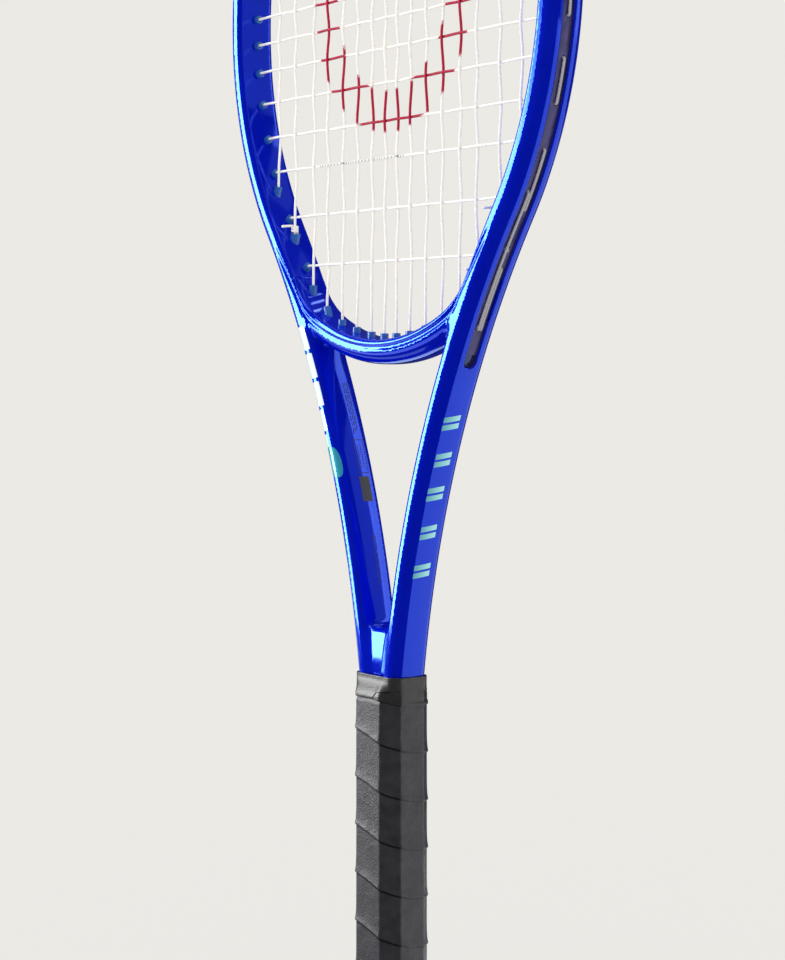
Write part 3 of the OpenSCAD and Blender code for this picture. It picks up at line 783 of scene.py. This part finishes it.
def mat_ink(name, low, high, rough=0.25, coat=0.6):
    """Ink that fades from low at the front edge to high further back."""
    mat, nt, b = principled(name, Roughness=rough, Coat_Weight=coat, Coat_Roughness=0.03)
    vec = coords(nt)
    sep = node(nt, "ShaderNodeSeparateXYZ")
    nt.links.new(vec, sep.inputs[0])
    fac = maths(nt, "ADD", maths(nt, "MULTIPLY", sep.outputs["Y"], 95.0), 0.62)
    fac = maths(nt, "ADD", fac, maths(nt, "MULTIPLY", noise(nt, vec, 1500, 2), 0.08))
    nt.links.new(ramp(nt, fac, [(0.05, low), (0.95, high)]), b.inputs["Base Color"])
    return mat


M = {"paint": mat_paint(), "barrel": mat_barrel(), "strip": mat_strip(), "guard": mat_guard(),
     "string": mat_string(), "grip": mat_grip(), "tape": mat_tape(), "cap": mat_cap(), "steel": mat_steel(),
     "foam": mat_foam(),
     "teal": mat_ink("mark_teal", (0.02, 0.30, 0.42), (0.36, 0.86, 0.88)),
     "white": mat_ink("mark_white", (0.72, 0.84, 0.86), (0.90, 0.93, 0.93)),
     "dark": mat_ink("mark_dark", (0.010, 0.012, 0.07), (0.016, 0.016, 0.09), 0.5, 0.0),
     "label": mat_ink("mark_label", (0.030, 0.032, 0.04), (0.05, 0.052, 0.06), 0.6, 0.0)}
# every piece is in one of these, and each list has its own strip light
painted, unpainted, strings = [], [], []


def dress(obj, mat, slot, replaces=()):
    obj.data.materials.append(mat)
    {"frame_paint": painted, "string": strings}.get(slot, unpainted).append(obj)
    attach(obj, "racket")
    if replaces:
        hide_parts(*replaces)
    return obj


def cad(name, mats, bevel=0.0, angle=35, pick=None):
    """Finishes a CAD node where it is: joined seams, edges softened by bevel millimetres, and materials."""
    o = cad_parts[name]
    unpainted.append(o)
    o.data.materials.clear()
    for m in mats:
        o.data.materials.append(m)
    for p in o.data.polygons:
        p.use_smooth = True
        p.material_index = pick(p.center) if pick else 0
    w = o.modifiers.new("seams", "WELD")
    w.merge_threshold = 0.00001
    if bevel:
        b = o.modifiers.new("edges", "BEVEL")
        b.width = bevel / 1000
        b.segments = 2
        b.limit_method = "ANGLE"
        b.angle_limit = math.radians(angle)
        b.harden_normals = True
    return o


# ---------- the painted frame
def mark_grooves(o):
    """Stores how far inside a string groove each vertex lies, as 0.5 at its edge and more inside; the paint
    and string materials paint shade into the grooves from it.
    """
    p = np.empty(len(o.data.vertices) * 3)
    o.data.vertices.foreach_get("co", p)
    p = p.reshape(-1, 3) * 1000
    x, y, z = np.abs(p[:, 0]), p[:, 1], p[:, 2]
    t = levels(x, z)
    tb, past = bridge_levels(x, z)
    s = past_groove_end(x, z)
    half = GROOVE_W / 2 + 0.1
    in_arm = np.minimum(np.minimum(half - np.where(s > 0, np.abs(y), np.hypot(y, s)), 4 - t), t - 0.35)
    in_bridge = np.minimum(np.minimum(half - np.abs(y), 4 - tb), np.minimum(-past, TUBE_W - t))
    in_bridge = np.where((tb > -3) & (past < 0), np.minimum(in_bridge, tb - 0.35), -5)
    inside = np.maximum(in_arm, in_bridge)
    o.data.attributes.new("groove", "FLOAT", "POINT").data.foreach_set("value", np.clip(0.5 + inside, 0, 1))


STEP = 0.8
skin = surface_mesh("frame_skin", frame_sdf, (-HALF_W - 3, -HALF_D - 2, SKIN_Z),
                    (HALF_W + 3, HALF_D + 2, TOP_Z + 3), STEP)
dress(skin, M["paint"], "frame_paint", ("frame_tube", "throat_bridge"))
mark_grooves(skin)


def section():
    """Outline of the tube's section, as (level, y)."""
    pts = [(0.0, 5.3)] + [(EDGE_R - EDGE_R * math.cos(a), HALF_D - EDGE_R + EDGE_R * math.sin(a))
                          for a in np.radians(range(0, 91, 15))]
    pts += [(TUBE_W - LIP_R + LIP_R * math.sin(a), HALF_D - LIP_R + LIP_R * math.cos(a))
            for a in np.radians(range(0, 91, 22))]
    return pts + [(t, -y) for t, y in reversed(pts)]


def shaft(side):
    """The shaft inside the handle, from its lower end to just above where the visible skin starts."""
    ring = section()
    zs = [TUBE_LO.z, SHAFT_Z, 172.0, SKIN_Z + 1.6]
    verts, faces = [], []
    for z in zs:
        x0 = SHAFT_X if z <= SHAFT_Z else c_neck[0] - chord(NECK_R, z - SHAFT_Z)
        verts += [(side * (x0 - t) / 1000, y / 1000, z / 1000) for t, y in ring]
    n = len(ring)
    for i in range(len(zs) - 1):
        for k in range(n):
            f = (i * n + k, i * n + (k + 1) % n, (i + 1) * n + (k + 1) % n, (i + 1) * n + k)
            faces.append(f if side < 0 else f[::-1])
    faces.append(tuple(range(n)) if side > 0 else tuple(reversed(range(n))))
    return add_mesh("shaft_left" if side < 0 else "shaft_right", verts, faces)


for s in (-1, 1):
    dress(shaft(s), M["paint"], "frame_paint")

# ---------- strings
for name, route, cad_name in (("main_string_woven", main_string_mesh(), "main_string"),
                              ("cross_string_woven", cross_string_mesh(), "cross_string")):
    v, f = tube(route, STRING_R)
    mark_grooves(dress(add_mesh(name, v, f), M["string"], "string", (cad_name,)))

# ---------- the other hard pieces, as the CAD has them
# level above which a face belongs to a barrel and not to the base of its strip
BASE_T = 2.6


def throat_pick(c):
    """1 for a face centre on a barrel of the bridge's strip, 0 for one on its base."""
    return int(bridge_levels(np.array([abs(c.x) * 1000]), np.array([c.z * 1000]))[0][0] > BASE_T)


def strip_pick(c):
    """The same for a strip in the hoop; low down, its barrels come out past the bridge."""
    t = levels(np.array([abs(c.x) * 1000]), np.array([c.z * 1000]))[0]
    return int(t > BASE_T and (c.z * 1000 > 366 or throat_pick(c) == 1))


for name in ("grommet_strip_left", "grommet_strip_right"):
    cad(name, [M["strip"], M["barrel"]], 0.45, 40, strip_pick)
cad("throat_grommet_strip", [M["strip"], M["barrel"]], 0.45, 40, throat_pick)
cad("bumper_guard", [M["guard"], M["barrel"]], 0.3, 40, strip_pick)
cad("handle_foam", [M["foam"]])
cad("butt_cap", [M["cap"]], 0.5, 20)
cad("trap_door", [M["cap"]], 0.25, 35)
cad("staples", [M["steel"]])


# ---------- grip and tape
def rounded_octagon(a, b, c, r, n):
    """n points (x, y) evenly round an octagon of half sizes a and b, with bevel c and corners of radius r."""
    ai, bi, ci = a - r, b - r, c - 0.586 * r
    cor = [(ai, -bi + ci), (ai, bi - ci), (ai - ci, bi), (-ai + ci, bi), (-ai, bi - ci), (-ai, -bi + ci),
           (-ai + ci, -bi), (ai - ci, -bi)]
    nor = [-22.5, 22.5, 67.5, 112.5, 157.5, 202.5, 247.5, 292.5]
    dense = []
    for (x, y), m in zip(cor, nor):
        for d in np.linspace(-22.5, 22.5, 7):
            u = unit(m + d)
            dense.append((x + r * u[0], y + r * u[1]))
    dense = np.array(dense + dense[:1])
    step = np.linalg.norm(np.diff(dense, axis=0), axis=1)
    run = np.concatenate([[0], np.cumsum(step)])
    want = np.linspace(0, run[-1], n, endpoint=False)
    return np.stack([np.interp(want, run, dense[:, 0]), np.interp(want, run, dense[:, 1])], 1)


def ring_normals(pts):
    d = np.roll(pts, -1, 0) - np.roll(pts, 1, 0)
    n = np.stack([d[:, 1], -d[:, 0]], 1)
    return n / np.linalg.norm(n, axis=1)[:, None]


def loft(name, rings, seams):
    """Joins rings (each n by 3, millimetres) into a sleeve; seams holds each ring's seam shading."""
    n = len(rings[0])
    verts = np.concatenate(rings) / 1000
    faces = []
    for i in range(len(rings) - 1):
        for k in range(n):
            a, b = i * n + k, i * n + (k + 1) % n
            faces.append((a, b, b + n, a + n))
    o = add_mesh(name, verts, faces)
    o.data.attributes.new("seam", "FLOAT", "POINT").data.foreach_set("value", np.concatenate(seams))
    return o


GRIP_LO, GRIP_HI = [v * 1000 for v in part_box("grip_wrap")]
TAPE_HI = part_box("finishing_tape")[1] * 1000
# rise of the ribbon in one turn
PITCH = 22.8
GRIP_A, GRIP_B, GRIP_C, GRIP_R = GRIP_HI.x, GRIP_HI.y, 7.4, 2.4
GRIP_TOP = 175.5
# height of one turn's seam at the place FRONT_RIGHT round the handle, between the front and right faces
SEAM_Z = 153.4
FRONT_RIGHT = 7.0 / 8
N_RING = 216
octo = rounded_octagon(GRIP_A, GRIP_B, GRIP_C, GRIP_R, N_RING)
octo_n = ring_normals(octo)
# place round the handle, from 0 to 1
S = np.arange(N_RING) / N_RING


def wave(s, z, seed):
    """Smooth unevenness round the handle that changes slowly with z."""
    r = random.Random(seed)
    v = np.zeros_like(s)
    for _ in range(9):
        v += math.sin(r.random() * 7 + z * r.uniform(0.1, 1.3)) * np.sin(
            2 * math.pi * (r.randint(3, 14) * s + r.random()) + z * r.uniform(-0.5, 0.5))
    return v / 9


def grip_skin():
    """The wrapped ribbon: d is how far each point lies out from the handle's octagon."""
    rings, seams = [], []
    z0 = GRIP_LO.z
    n = int((GRIP_TOP - z0) / (0.42))
    for z in np.linspace(z0, GRIP_TOP, n):
        drift = 0.8 * np.sin(2 * math.pi * (S * 2 + 0.2)) + 0.5 * wave(S, z * 0.02, 3)
        # height above the nearest seam below
        u = (z - SEAM_Z + PITCH * (S - FRONT_RIGHT) + drift) % PITCH
        d = -0.72 + 0.62 * ease(u, 0, 0.45) * np.exp(-np.maximum(u - 1.2, 0) / 2.6)
        pucker = np.exp(-((u - 1.5) / 2.2) ** 2) + 0.6 * np.exp(-((u - PITCH + 1.5) / 1.8) ** 2)
        d = d + 0.16 * pucker * wave(S, z * 0.8, 5) + 0.07 * wave(S, z * 0.25, 9)
        d = d - 0.45 * ease(z, 171.0, 172.5)
        if z < z0 + 1.2:
            d = d - 0.4 * (1 - (z - z0) / 1.2) ** 2
        d = np.minimum(d, -0.02)
        p = octo + octo_n * d[:, None]
        rings.append(np.column_stack([p, np.full(len(p), z)]))
        seams.append(np.exp(-((np.minimum(u, PITCH - u) - 0.1) / 0.45) ** 2))
    low = rings[0].copy()
    low[:, :2] *= 0.93
    rings.insert(0, low)
    seams.insert(0, seams[0])
    return loft("grip_ribbon", rings, seams)


def tape_skin(name, sign, lift):
    """One turn of the finishing tape; its lower edge runs up or down across the visible corner."""
    wide = rounded_octagon(GRIP_A - 0.42, GRIP_B - 0.42, GRIP_C, GRIP_R, N_RING)
    slim = rounded_octagon(TAPE_HI.x - 0.30, TAPE_HI.y - 0.30, 3.3, 4.0, N_RING)
    if sign > 0:
        places, heights = [0, 0.06, 0.2, 0.66, 0.875, 1.0], [170.4, 169.3, 170.6, 172.8, 173.0, 170.4]
    else:
        places = [0, 0.06, 0.2, 0.66, 0.86, 0.885, 1.0]
        heights = [177.4, 178.1, 176, 173.1, 173.2, 176.2, 177.4]
    low = np.interp(S, places, heights)
    rings, seams = [], []
    rows = 26
    for i in range(rows + 1):
        f = i / rows
        z = low + (TAPE_HI.z - 0.02 - low) * f
        e = ease(z, 174.0, 182.0)[:, None]
        p = wide * (1 - e) + slim * e
        grow = lift + 0.05 * wave(S, f * 9, 20 + sign)
        edge = 0.5 if i == 0 else 0.0
        p = p + ring_normals(p) * (grow - edge)[:, None]
        rings.append(np.column_stack([p, z]))
        seams.append(np.full(len(p), 1.0 if i == 0 else 0.0))
        if i == 0:
            first = rings[0].copy()
            first[:, :2] += ring_normals(p) * (0.5 - 0.02)
            first[:, 2] += 0.04
            rings.append(first)
            seams.append(seams[0])
    top = rings[-1].copy()
    top[:, :2] *= 0.95
    rings.append(top)
    seams.append(seams[-1])
    return loft(name, rings, seams)


dress(grip_skin(), M["grip"], "grip", ("grip_wrap",))
dress(tape_skin("tape_under", 1, 0.0), M["tape"], "tape", ("finishing_tape",))
dress(tape_skin("tape_over", -1, 0.27), M["tape"], "tape")


# ---------- printed marks, all generic
PRINT_LIFT = 0.045


def lay(name, start, nu, nv):
    """A printed patch: start maps (0..1, 0..1) to a point near the paint, which is then laid on it."""
    grid = np.array([start(i / nu, j / nv) for j in range(nv + 1) for i in range(nu + 1)], float)
    for _ in range(8):
        f = frame_sdf(grid) - PRINT_LIFT
        g = slope(frame_sdf, grid)
        grid = grid - g * (f / np.maximum((g ** 2).sum(1), 0.25))[:, None]
    w = nu + 1
    faces = [(j * w + i, j * w + i + 1, (j + 1) * w + i + 1, (j + 1) * w + i)
             for j in range(nv) for i in range(nu)]
    o = add_mesh(name, grid / 1000, faces)
    n = o.data.polygons[len(faces) // 2].normal
    if np.dot(np.array(n), g[len(grid) // 2]) < 0:
        o.data.flip_normals()
    return o


def on_arm(side, z, t):
    return side * (c_arm[0] - math.sqrt((ARM_R + t) ** 2 - (z - c_arm[1]) ** 2))


def on_front(side, z, t):
    """A point close to the front face, further back where its outer edge rounds off."""
    return on_arm(side, z, t), -HALF_D - 0.05 + 0.3 * max(0, 4.5 - t), z


def side_patch(side, z0, z1, y0, y1, slant=0.0, t=0.0):
    """A patch on the outer side of an arm, or on its inner side if t is TUBE_W."""
    def start(u, v):
        z = z0 + (z1 - z0) * v + slant * (u - 0.5)
        return on_arm(side, z, t), y0 + (y1 - y0) * u, z
    return start


def front_patch(side, z0, z1, t0, t1, slant):
    def start(u, v):
        return on_front(side, z0 + (z1 - z0) * v + slant * (u - 0.5), t0 + (t1 - t0) * u)
    return start


def disc_patch(side, zc, tc, r):
    def start(u, v):
        a, rr = 2 * math.pi * u, r * (0.02 + 0.98 * v)
        return on_front(side, zc + rr * math.sin(a), tc + rr * math.cos(a))
    return start


def mark(name, ink, start, nu, nv):
    dress(lay(name, start, nu, nv), M[ink], "frame_paint")


BAR = 2.5
for i, z in enumerate((302.8, 285.8, 269.9, 251.8, 233.6)):
    for j, dz in enumerate((-BAR, 1.1)):
        bar = side_patch(1, z + dz, z + dz + BAR, -6.0 + 0.4 * (i % 2), 3.0, 1.3)
        mark(f"side_mark_{i + 1}_{j + 1}", "teal", bar, 14, 3)
# heights and levels of the white blocks
BLOCKS = [(337.0, 348.5, 1.8, 9.0), (323.2, 335.0, 1.6, 9.2), (309.6, 321.2, 1.4, 9.0),
          (297.4, 307.6, 1.0, 7.4), (289.4, 295.4, 0.8, 5.8)]
for i, block in enumerate(BLOCKS):
    mark(f"front_block_{i + 1}", "white", front_patch(-1, *block, 1.6), 12, 10)
mark("front_disc", "teal", disc_patch(-1, 282.8, 6.8, 7.4), 40, 10)


def dash_rows(top, bottom, rows, width, longest):
    """Broken rows of dashes down an arm, as (z0, z1, y0, y1)."""
    dashes = []
    for y in rows:
        z = top
        while z > bottom:
            step = rnd.uniform(1.6, longest)
            dashes.append((z - step, z, y, y + width))
            z -= step + 0.7
    return dashes


inner = dash_rows(321.0, 299, (2.0, 3.2, 4.4), 0.45, 4.2) + dash_rows(248.0, 225, (1.6, 3.2), 0.4, 4.4)
# an outlined box with two lines in it
BOX_Z0, BOX_Z1, BOX_Y0, BOX_Y1, LINE = 277.4, 293.6, 0.4, 6.45, 0.35
inner += [(BOX_Z0, BOX_Z1, BOX_Y0, BOX_Y0 + LINE), (BOX_Z0, BOX_Z1, BOX_Y1 - LINE, BOX_Y1),
          (BOX_Z1 - LINE, BOX_Z1, BOX_Y0, BOX_Y1), (BOX_Z0, BOX_Z0 + LINE, BOX_Y0, BOX_Y1)]
inner += [(280.0, 291.0, y, y + LINE) for y in (2.2, 3.9)]
for i, dash in enumerate(inner):
    mark(f"inner_print_{i + 1}", "dark", side_patch(-1, *dash, t=TUBE_W), 2, 4)
mark("size_label", "label", side_patch(-1, 264.0, 275.8, -0.2, 5.8, t=TUBE_W), 8, 10)


# ---------- stage, light and camera
def plain_floor():
    """A pale floor that curves up into a wall behind the object."""
    mat = bpy.data.materials.new("pale_backdrop")
    mat.use_nodes = True
    nt = mat.node_tree
    b = nt.nodes["Principled BSDF"]
    b.inputs["Base Color"].default_value = (0.20, 0.197, 0.19, 1)
    b.inputs["Roughness"].default_value = 0.9
    b.inputs["Specular IOR Level"].default_value = 0.0
    b.inputs["Emission Color"].default_value = (*STUDIO, 1)
    b.inputs["Emission Strength"].default_value = 0.80
    bend_at, bend_r = 2.2, 1.2
    prof = [(-6.0, 0.0), (bend_at, 0.0)]
    prof += [(bend_at + bend_r * math.sin(a), bend_r - bend_r * math.cos(a))
             for a in np.linspace(0.1, math.pi / 2, 14)]
    prof.append((bend_at + bend_r, 6.0))
    across = Vector((math.cos(AZ), math.sin(AZ), 0))
    verts = []
    for w in (-6.0, 6.0):
        for d, h in prof:
            p = across * w - TO_CAMERA * d
            verts.append((p.x, p.y, h + FLOOR_Z))
    n = len(prof)
    o = add_mesh("backdrop", verts, [(i, i + 1, n + i + 1, n + i) for i in range(n - 1)])
    o.data.materials.append(mat)


def area(name, direction, distance, width, height, power, target=(0, 0, 0.36)):
    """A rectangular light at a distance in a direction from its target, which it faces."""
    d = Vector(direction).normalized()
    light = bpy.data.lights.new(name, "AREA")
    light.shape = "RECTANGLE"
    light.size, light.size_y = width, height
    light.energy = power
    o = bpy.data.objects.new(name, light)
    bpy.context.scene.collection.objects.link(o)
    o.location = Vector(target) + d * distance
    o.rotation_mode = "QUATERNION"
    o.rotation_quaternion = (-d).to_track_quat("-Z", "Y")
    o.visible_camera = False
    return o


def heading(az, el=0.0):
    """Direction at az degrees round from the front (-Y) towards the right (+X), and el degrees up."""
    a, e = math.radians(az), math.radians(el)
    return math.sin(a) * math.cos(e), -math.cos(a) * math.cos(e), math.sin(e)


def card(name, verts, faces, glow):
    """A card seen only in reflections; the dark ones make the rounded edges read deep blue."""
    o = add_mesh(name, verts, faces)
    mat = bpy.data.materials.new(name)
    mat.use_nodes = True
    b = mat.node_tree.nodes["Principled BSDF"]
    b.inputs["Base Color"].default_value = (0.004, 0.004, 0.006, 1)
    b.inputs["Specular IOR Level"].default_value = 0.0
    b.inputs["Emission Color"].default_value = (*glow, 1)
    b.inputs["Emission Strength"].default_value = 1.0
    o.data.materials.append(mat)
    o.visible_camera = o.visible_diffuse = o.visible_shadow = o.visible_transmission = False


def flag(name, az0, az1, z0, z1, glow):
    """An upright card curved round the object."""
    r, steps = 1.9, 16
    verts = []
    for i in range(steps + 1):
        x, y, _ = heading(az0 + (az1 - az0) * i / steps)
        verts += [(x * r, y * r, z0), (x * r, y * r, z1)]
    card(name, verts, [(2 * i, 2 * i + 2, 2 * i + 3, 2 * i + 1) for i in range(steps)], glow)


def sheet(name, z, corners, glow):
    """A level card under or over the object."""
    card(name, [(x, y, z) for x, y in corners], [tuple(range(len(corners)))], glow)


def shine_on(light, objs):
    """Limits a light to the given objects."""
    group = bpy.data.collections.new(light.name + "_group")
    for o in objs:
        group.objects.link(o)
    light.light_linking.receiver_collection = group
    return light


def strip_light(name, power, objs):
    """A tall strip light on the left, as far round from the front as the camera is on the right."""
    return shine_on(area(name, heading(-VIEW_AZ), 1.35, 0.33, 1.9, power, (0, 0, 1.005)), objs)


VIEW_AZ = 54.6
AZ = math.radians(VIEW_AZ)
TO_CAMERA = Vector((math.sin(AZ), -math.cos(AZ), 0))
FLOOR_Z = -0.014
STUDIO = (0.838, 0.823, 0.791)
scene = bpy.context.scene
world = bpy.data.worlds.new("studio")
scene.world = world
world.use_nodes = True
world.node_tree.nodes["Background"].inputs["Color"].default_value = (*STUDIO, 1)
world.node_tree.nodes["Background"].inputs["Strength"].default_value = 1.0
plain_floor()
racket = painted + unpainted + strings
strip_light("strip_box", 32, painted).data.color = (0.60, 0.95, 1.0)
strip_light("strip_box_plain", 32, unpainted)
strip_light("strip_box_soft", 12, strings)
shine_on(area("string_fill", heading(15, 8), 1.6, 1.0, 1.4, 7), strings)
shine_on(area("overhead", heading(20, 78), 1.5, 0.9, 0.7, 4), racket)
shine_on(area("rear_fill", heading(128, 12), 1.8, 0.9, 1.4, 1.5), racket)
PALE = (1.2, 1.2, 1.22)
# heights of the cards: the bottom, the top of the low one, the top of the bright one, and the top
LOW, KNEE, SHOULDER, TALL = -0.01, 0.33, 1.9, 2.8
flag("front_card", -40, 106, LOW, TALL, (0.05, 0.05, 0.055))
flag("side_card", 106, 150, LOW, KNEE, PALE)
flag("side_card_edge", 106, 137, KNEE, TALL, (0.02, 0.02, 0.02))
flag("side_card_mid", 137, 154, KNEE, SHOULDER, (1.9, 1.9, 1.93))
flag("side_card_top", 137, 154, SHOULDER, TALL, (0.35, 0.35, 0.36))
flag("rear_card", 154, 262, LOW, TALL, (0.04, 0.04, 0.045))
flag("left_card", 262, 290, LOW, TALL, (0.22, 0.22, 0.23))
flag("back_card", 290, 320, LOW, TALL, (0.02, 0.02, 0.02))
sheet("under_card", -0.010, [(-2, -2), (2, -2), (2, 2), (-2, 2)], (0.03, 0.03, 0.03))
sheet("under_rear_card", -0.006, [(-0.1, -0.03), (2, 0.55), (2, 2), (-0.1, 2)], PALE)
for i, (y0, y1, glow) in enumerate(((-0.40, -0.24, 1.4), (-0.12, 0.02, 0.7), (0.12, 0.36, 1.6))):
    sheet(f"under_left_card_{i + 1}", -0.006, [(-2, y0), (-0.2, y0), (-0.2, y1), (-2, y1)], (glow,) * 3)
sheet("over_card", 2.79, [(-2, -2), (2, -2), (2, 2), (-2, 2)], (0.08, 0.08, 0.08))
for i, (x0, x1) in enumerate(((-1.1, -0.92), (-0.5, -0.36), (-0.02, 0.06))):
    sheet(f"over_bright_card_{i + 1}", 2.785, [(x0, 1.3), (x1, 1.3), (x1, 2), (x0, 2)], (4.0, 4.0, 4.0))

cam = bpy.data.cameras.new("camera")
cam.sensor_width = 36.0
cam.sensor_fit = "AUTO"
cam.lens = 82.99
cam.shift_y = -0.1223
cam.shift_x = 0.001
cam.clip_start, cam.clip_end = 0.05, 50
cam_obj = bpy.data.objects.new("camera", cam)
scene.collection.objects.link(cam_obj)
cam_obj.location = TO_CAMERA * 1.051 + Vector((0, 0, 0.331))
cam_obj.rotation_mode = "QUATERNION"
cam_obj.rotation_quaternion = (-TO_CAMERA).to_track_quat("-Z", "Y")
scene.camera = cam_obj
scene.view_settings.view_transform = "Standard"
scene.view_settings.look = "None"

bpy.context.view_layer.update()
